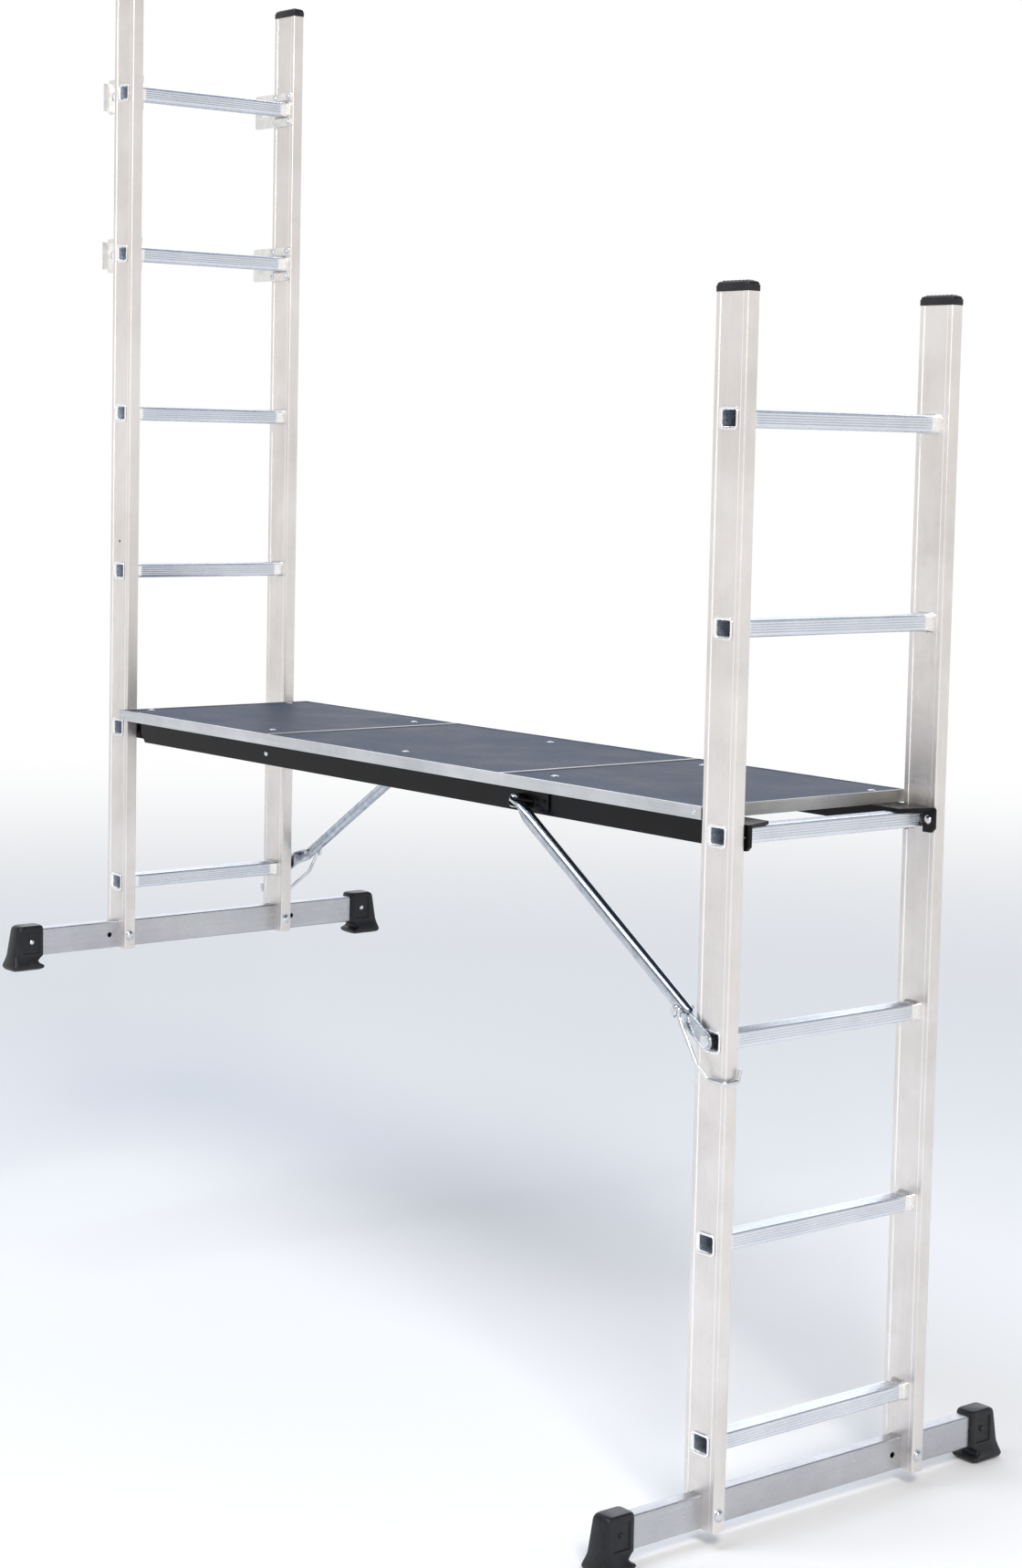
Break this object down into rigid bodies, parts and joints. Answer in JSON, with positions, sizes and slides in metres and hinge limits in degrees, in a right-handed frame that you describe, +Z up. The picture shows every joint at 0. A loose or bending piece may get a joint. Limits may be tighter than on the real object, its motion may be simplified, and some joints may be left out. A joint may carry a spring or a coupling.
{
  "type": "combination ladder scaffold",
  "caption": "Ladder scaffold in its stair position: a narrow work platform hooked between a lower and a higher ladder frame, with stabiliser bars, moulded shoes and two swinging braces.",
  "frame": {"origin": "bottom centre of the whole assembly's box, on the floor plane of the lower frame's shoes", "axes": "+X from the high narrow frame to the low wide frame along the platform, +Y across the rungs, +Z up"},
  "size_m": [1.7255, 0.792, 2.284],
  "materials": {
    "stile_aluminium": "satin",
    "rung_aluminium": "satin, ribbed",
    "bar_aluminium": "satin",
    "trim_aluminium": "satin",
    "deck_plywood": "film-faced, matt, wire-mesh texture",
    "black_steel": "gloss",
    "brace_steel": "bright zinc plated",
    "zinc_steel": "bright zinc plated",
    "guide_steel": "zinc plated",
    "shoe_plastic": "moulded, slightly glossy",
    "cap_plastic": "moulded"
  },
  "bodies": {
    "root": {"cross_member_1": "black_steel", "cross_member_2": "black_steel", "deck_panel_1": "deck_plywood", "deck_panel_2": "deck_plywood", "deck_panel_3": "deck_plywood", "deck_rivets": "zinc_steel", "deck_trim_far": "trim_aluminium", "deck_trim_left": "trim_aluminium", "deck_trim_near": "trim_aluminium", "deck_trim_right": "trim_aluminium", "far_brace_bracket": "black_steel", "far_hinge_pin": "zinc_steel", "frame_fasteners": "zinc_steel", "guide_5_far": "guide_steel", "guide_5_near": "guide_steel", "guide_6_far": "guide_steel", "guide_6_near": "guide_steel", "guide_bolts": "zinc_steel", "joint_strip_1": "trim_aluminium", "joint_strip_2": "trim_aluminium", "lower_bar": "bar_aluminium", "lower_bar_fasteners": "zinc_steel", "lower_cap_far": "cap_plastic", "lower_cap_near": "cap_plastic", "lower_rung_1": "rung_aluminium", "lower_rung_2": "rung_aluminium", "lower_rung_3": "rung_aluminium", "lower_rung_4": "rung_aluminium", "lower_rung_5": "rung_aluminium", "lower_rung_6": "rung_aluminium", "lower_shoe_far": "shoe_plastic", "lower_shoe_near": "shoe_plastic", "lower_stile_far": "stile_aluminium", "lower_stile_near": "stile_aluminium", "near_brace_bracket": "black_steel", "near_hinge_pin": "zinc_steel", "platform_angle_far": "black_steel", "platform_angle_near": "black_steel", "platform_hook_far": "black_steel", "platform_hook_near": "black_steel", "upper_bar": "bar_aluminium", "upper_bar_fasteners": "zinc_steel", "upper_cap_far": "cap_plastic", "upper_cap_near": "cap_plastic", "upper_rung_1": "rung_aluminium", "upper_rung_2": "rung_aluminium", "upper_rung_3": "rung_aluminium", "upper_rung_4": "rung_aluminium", "upper_rung_5": "rung_aluminium", "upper_rung_6": "rung_aluminium", "upper_shoe_far": "shoe_plastic", "upper_shoe_near": "shoe_plastic", "upper_stile_far": "stile_aluminium", "upper_stile_near": "stile_aluminium"},
    "near_brace": {"near_brace_tube": "brace_steel", "near_brace_pins": "zinc_steel"},
    "near_bail": {"near_bail": "zinc_steel"},
    "far_brace": {"far_brace_tube": "brace_steel", "far_brace_pins": "zinc_steel"},
    "far_bail": {"far_bail": "zinc_steel"}
  },
  "joints": [
    {"name": "near_brace_swing", "type": "hinge", "parent": "root", "child": "near_brace", "pos_m": [0.387, -0.205, 0.982], "axis": [-0.2831, 0, -0.9591], "range_deg": [0, 170]},
    {"name": "far_brace_swing", "type": "hinge", "parent": "root", "child": "far_brace", "pos_m": [-0.339, 0.205, 0.982], "axis": [0.2831, 0, -0.9591], "range_deg": [0, 170]},
    {"name": "near_bail_pivot", "type": "hinge", "parent": "near_brace", "child": "near_bail", "pos_m": [0.76794, -0.205, 0.73567], "axis": [0, -1, 0], "range_deg": [0, 45]},
    {"name": "far_bail_pivot", "type": "hinge", "parent": "far_brace", "child": "far_bail", "pos_m": [-0.71994, 0.205, 0.73567], "axis": [0, 1, 0], "range_deg": [0, 45]}
  ]
}
